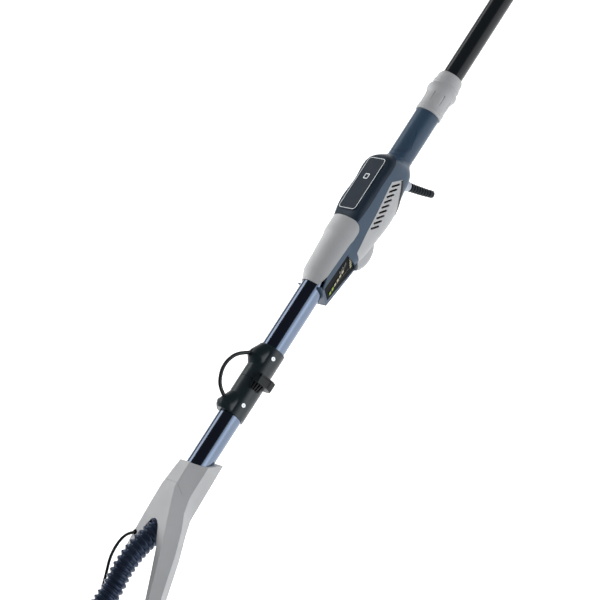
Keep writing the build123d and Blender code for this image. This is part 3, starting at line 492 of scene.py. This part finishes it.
def mark_groups():
    """Bars by material: distance along and down the plate, width and height, in millimetres."""
    groups = {"mark_cream": [], "mark_green": [], "mark_grey": []}
    for i in range(5):
        groups["mark_cream"].append((7.0, 6.0 + 4.6 * i, 5.0, 3.2))
    for i in range(6):
        name = "mark_green" if i > 3 else "mark_cream"
        groups[name].append((30.0 + 7.6 * i, 12.0 + 1.1 * i, 5.2, 4.6))
    for i in range(7):
        groups["mark_grey"].append((22.0 + 3.0 * i, 5.0 + 1.5 * (i % 3), 1.6, 5.0))
    for i in range(9):
        groups["mark_grey"].append((16.0 + 6.2 * i, 23.5 - 0.8 * i, 4.4, 0.9))
    return groups


def label_marks(side):
    """Plain bars on a label plate, with no lettering. side is -1 for the latch side and 1 for the other."""
    top_rear = Vector((0.0195, side * 0.0288, -0.0035))
    top_front = Vector((-0.0635, side * 0.0272, -0.0015))
    low_rear = Vector((0.0035, side * 0.01775, -0.0365))
    along = (top_front - top_rear).normalized()
    down = (low_rear - top_rear).normalized()
    out = along.cross(down).normalized()
    if out.y * side < 0:
        out = -out
    for name, bars in mark_groups().items():
        verts, faces = [], []
        for u, v, width, height in bars:
            corner = top_rear + along * (u * MM) + down * (v * MM)
            start = len(verts)
            for level in (-MARK_LIFT, MARK_LIFT):
                for a, b in [(0, 0), (width, 0), (width, height), (0, height)]:
                    verts.append(corner + along * (a * MM) + down * (b * MM) + out * level)
            faces += [tuple(start + k for k in quad) for quad in BOX_FACES]
        bar = new_piece(f"label_{name}_{'left' if side < 0 else 'right'}", verts, faces, name, smooth=False)
        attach(bar, "housing")


label_marks(-1)
label_marks(1)


# ---- stage, lights and camera ----------------------------------------------
FLOOR_Z = -0.75
FLOOR_HALF = 14.0
FLOOR_GLOW = 0.75           # emission that keeps the floor white
TARGET_DISTANCE = 5.0
VIEW_TURN = math.radians(17.5)      # towards the head end
VIEW_RISE = math.radians(40.0)      # above the latch side
POLE_SLOPE = math.radians(57.27)    # how steeply the pole crosses the frame
GRIP_OFFSET = (0.0546, 0.0729)      # the frame's centre from the grip: right of it is negative, in metres
LENS = 185.25
SENSOR_WIDTH = 36.0


def build_camera():
    """The camera, rolled so that the pole runs from lower left to upper right."""
    away = Vector((-math.sin(VIEW_TURN), -math.cos(VIEW_TURN) * math.cos(VIEW_RISE),
                   math.cos(VIEW_TURN) * math.sin(VIEW_RISE)))
    headward = Vector((-1, 0, 0))
    headward = (headward - away * headward.dot(away)).normalized()
    across = away.cross(headward)
    if across.z < 0:
        across = -across
    right = -math.cos(POLE_SLOPE) * headward - math.sin(POLE_SLOPE) * across
    up = -math.sin(POLE_SLOPE) * headward + math.cos(POLE_SLOPE) * across
    target = -GRIP_OFFSET[0] * right - GRIP_OFFSET[1] * up
    camera = bpy.data.objects.new("camera", bpy.data.cameras.new("camera"))
    camera.data.lens = LENS
    camera.data.sensor_width = SENSOR_WIDTH
    camera.data.clip_end = 60.0
    pose = Matrix((right, up, away)).transposed().to_4x4()
    pose.translation = target + away * TARGET_DISTANCE
    camera.matrix_world = pose
    bpy.context.scene.collection.objects.link(camera)
    bpy.context.scene.camera = camera


def area_light(name, place, aim, width, height, power, colour=(1, 1, 1), glossy=True):
    """A rectangular soft light that faces a point, with its width along X."""
    light = bpy.data.lights.new(name, "AREA")
    light.shape = "RECTANGLE"
    light.size = width
    light.size_y = height
    light.energy = power
    light.color = colour
    obj = bpy.data.objects.new(name, light)
    back = (Vector(place) - Vector(aim)).normalized()
    right = Vector((1, 0, 0))
    right = (right - back * right.dot(back)).normalized()
    pose = Matrix((right, back.cross(right), back)).transposed().to_4x4()
    pose.translation = Vector(place)
    obj.matrix_world = pose
    obj.visible_glossy = glossy
    bpy.context.scene.collection.objects.link(obj)


def build_stage():
    """A plain pale floor."""
    corners = [(-1, -1), (1, -1), (1, 1), (-1, 1)]
    verts = [(x * FLOOR_HALF, y * FLOOR_HALF, FLOOR_Z) for x, y in corners]
    floor = new_piece("floor", verts, [(0, 1, 2, 3)], "grey_plastic", smooth=False)
    material, tree, shader = start_material("pale_floor")
    coords = tree.nodes.new("ShaderNodeTexCoord")
    tint = ramp_between(tree, add_noise(tree, coords, 1.5), (0.86, 0.86, 0.86), (0.88, 0.88, 0.88))
    tree.links.new(tint, shader.inputs["Base Color"])
    shader.inputs["Roughness"].default_value = 0.9
    tree.links.new(tint, shader.inputs["Emission Color"])
    shader.inputs["Emission Strength"].default_value = FLOOR_GLOW
    floor.data.materials.clear()
    floor.data.materials.append(material)


def build_world():
    """Soft light: bright near and below the horizon, dim overhead."""
    world = bpy.data.worlds.new("studio")
    bpy.context.scene.world = world
    world.use_nodes = True
    tree = world.node_tree
    background = tree.nodes["Background"]
    coords = tree.nodes.new("ShaderNodeTexCoord")
    parts = tree.nodes.new("ShaderNodeSeparateXYZ")
    tree.links.new(coords.outputs["Generated"], parts.inputs["Vector"])
    ramp = tree.nodes.new("ShaderNodeValToRGB")
    ramp.color_ramp.elements[0].position = 0.0
    ramp.color_ramp.elements[0].color = (0.9, 0.9, 0.92, 1)
    ramp.color_ramp.elements[1].position = 0.25
    ramp.color_ramp.elements[1].color = (0.03, 0.03, 0.035, 1)
    tree.links.new(parts.outputs["Z"], ramp.inputs["Fac"])
    tree.links.new(ramp.outputs["Color"], background.inputs["Color"])
    background.inputs["Strength"].default_value = 1.0


build_camera()
build_stage()
build_world()
area_light("far_key", (0.3, 2.6, 2.2), (0.0, 0.0, 0.0), 4.0, 1.6, 34, (1.0, 0.99, 0.97))
area_light("near_card", (0.1, -2.2, 0.0), (0.1, 0.0, 0.0), 1.5, 1.7, 7, (0.90, 0.95, 1.0))
area_light("overhead", (0.0, 0.0, 4.5), (0.0, 0.0, 0.0), 6.0, 6.0, 105, (1, 1, 1), glossy=False)
area_light("far_fill", (-0.6, 3.0, 1.2), (-0.2, 0.0, 0.0), 3.0, 2.0, 90, (1, 1, 1), glossy=False)
bpy.context.scene.view_settings.view_transform = "Standard"
